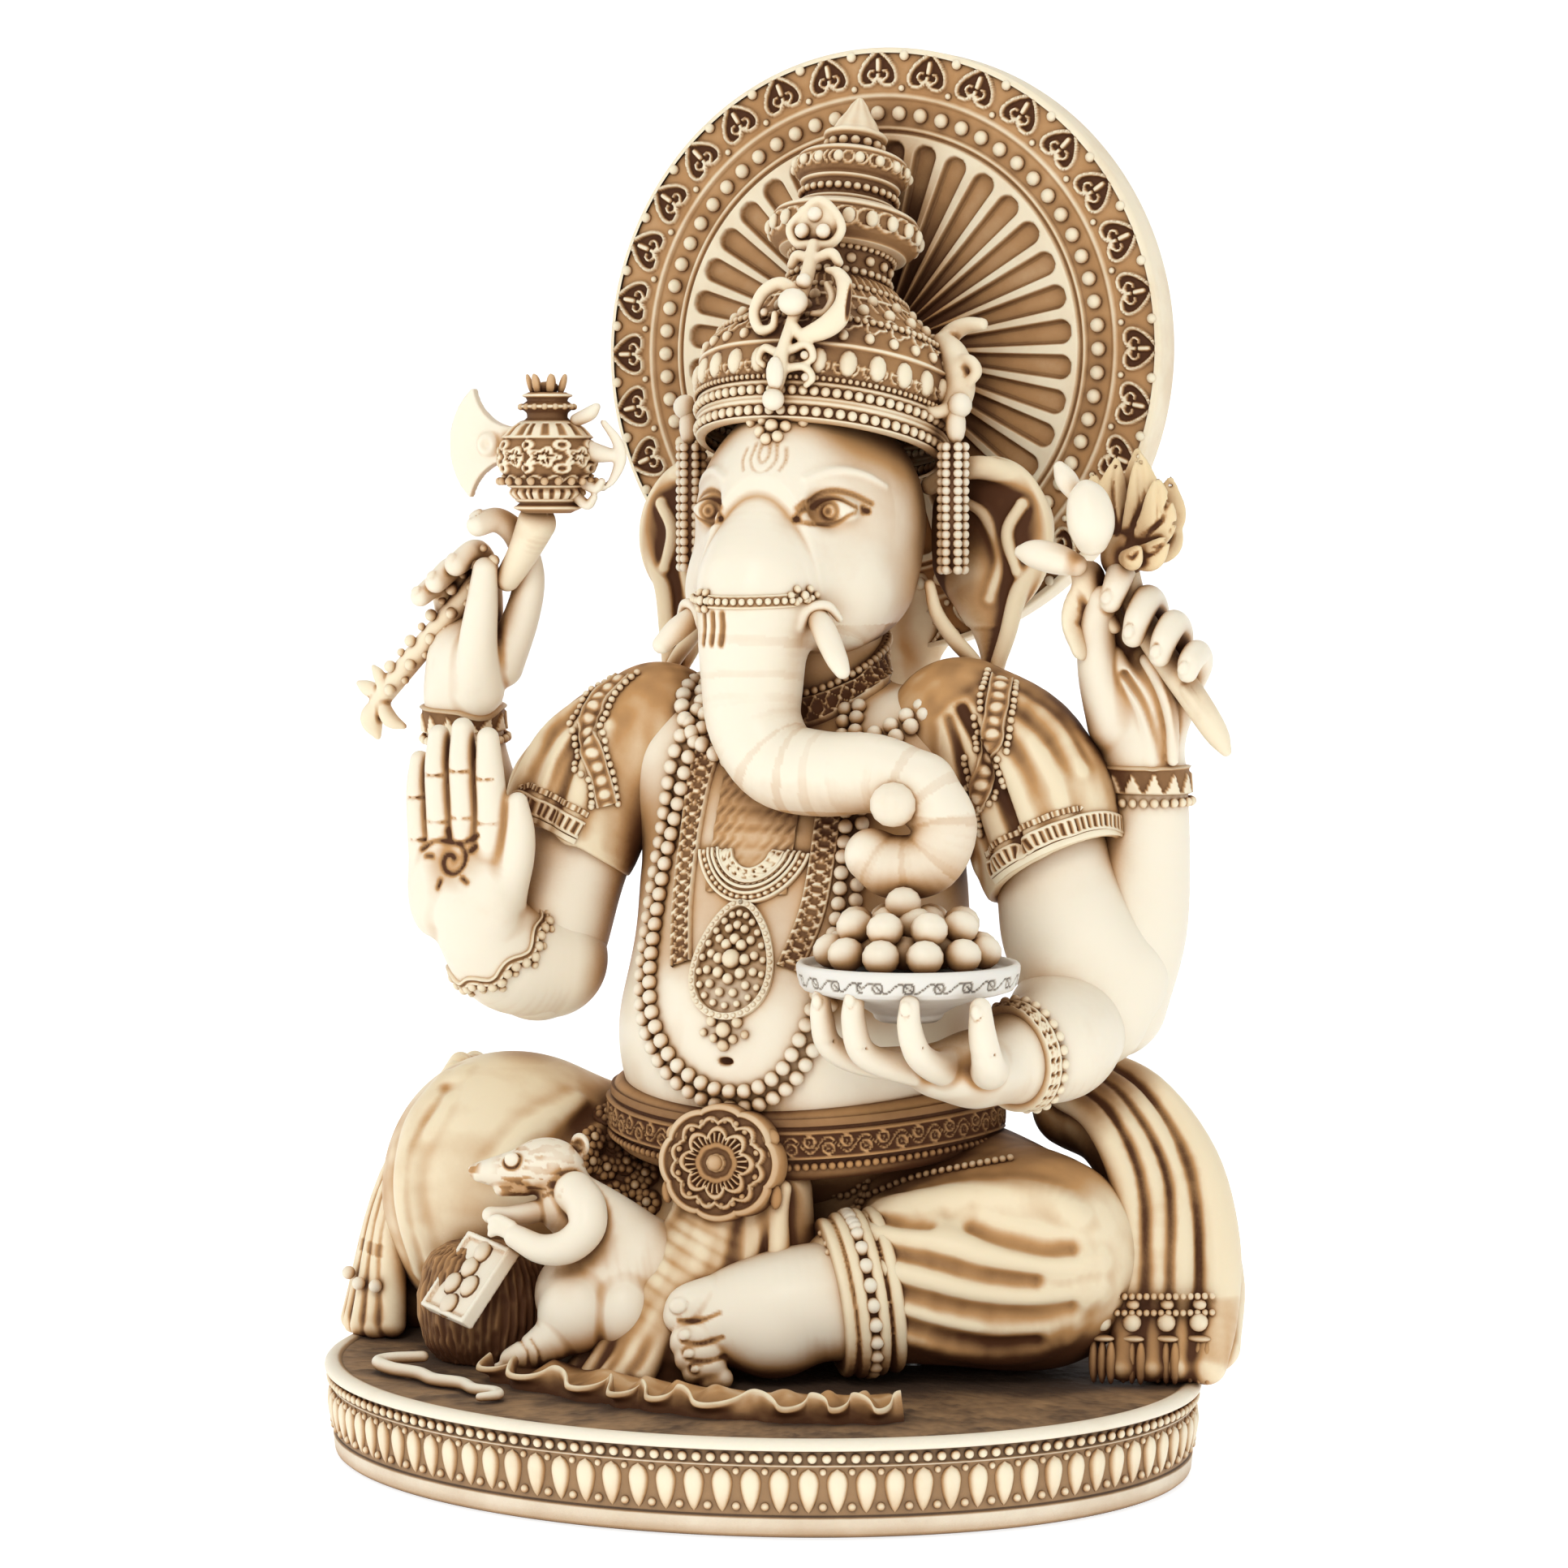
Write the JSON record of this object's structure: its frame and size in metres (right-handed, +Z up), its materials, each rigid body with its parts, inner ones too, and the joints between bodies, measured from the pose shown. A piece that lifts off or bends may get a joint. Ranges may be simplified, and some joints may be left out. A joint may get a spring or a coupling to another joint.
{
  "type": "seated elephant-headed idol",
  "caption": "Seated four-armed elephant-headed devotional statuette on an oval plinth, with a round halo, crown, plate of sweets, axe, lotus and a small mouse.",
  "frame": {"origin": "centre of the flat underside of the oval plinth", "axes": "+Z up, -Y the way the figure faces, +X the figure's own left"},
  "size_m": [0.1994, 0.1614, 0.301],
  "materials": {
    "ivory_skin": "smooth polished ivory resin with a faint brown wash",
    "ivory_resin": "satin ivory resin, brown antique wash in the folds",
    "antiqued_relief": "deep brown antique wash in carved relief, ivory on the high points",
    "felt": "thin brown felt",
    "steel_pin": "plain steel dowel"
  },
  "bodies": {
    "root": {"anklet": "ivory_resin", "axe_blade": "ivory_resin", "axe_pot": "antiqued_relief", "axe_staff": "ivory_resin", "base_pad": "felt", "base_plinth": "antiqued_relief", "belt": "ivory_resin", "belt_buckle": "antiqued_relief", "bracelet_left_back": "ivory_resin", "bracelet_left_front": "ivory_resin", "bracelet_right_back": "ivory_resin", "bracelet_right_front": "ivory_resin", "chest_pearls": "ivory_resin", "chest_pendant": "antiqued_relief", "collar": "antiqued_relief", "crown_cap": "antiqued_relief", "crown_crest": "antiqued_relief", "crown_finial": "antiqued_relief", "crown_tiers": "antiqued_relief", "dhoti_legs": "ivory_resin", "ear_left": "ivory_resin", "ear_right": "ivory_resin", "earring_left": "ivory_resin", "earring_right": "ivory_resin", "floor_hem": "ivory_resin", "forearm_left_back": "ivory_skin", "forearm_left_front": "ivory_skin", "forearm_right_back": "ivory_skin", "forearm_right_front": "ivory_skin", "front_pleats": "ivory_resin", "halo": "antiqued_relief", "halo_pins": "steel_pin", "halo_stem": "antiqued_relief", "head": "ivory_skin", "left_foot": "ivory_skin", "lotus_bloom": "ivory_resin", "lotus_buds": "ivory_resin", "lotus_stem": "ivory_resin", "mouse": "ivory_resin", "mouse_basket": "antiqued_relief", "mouse_tail": "ivory_resin", "mouse_tray": "ivory_resin", "pearl_necklace": "ivory_resin", "plate_sweets": "ivory_skin", "seat_dowels": "steel_pin", "shawl_left": "ivory_resin", "shawl_right": "ivory_resin", "sleeve_left": "ivory_resin", "sleeve_right": "ivory_resin", "sweet_plate": "ivory_resin", "torso": "ivory_skin", "trunk_sweet": "ivory_skin", "tusk_left": "ivory_skin", "tusk_right": "ivory_skin", "upper_arm_left": "ivory_skin", "upper_arm_right": "ivory_skin"}
  },
  "joints": []
}
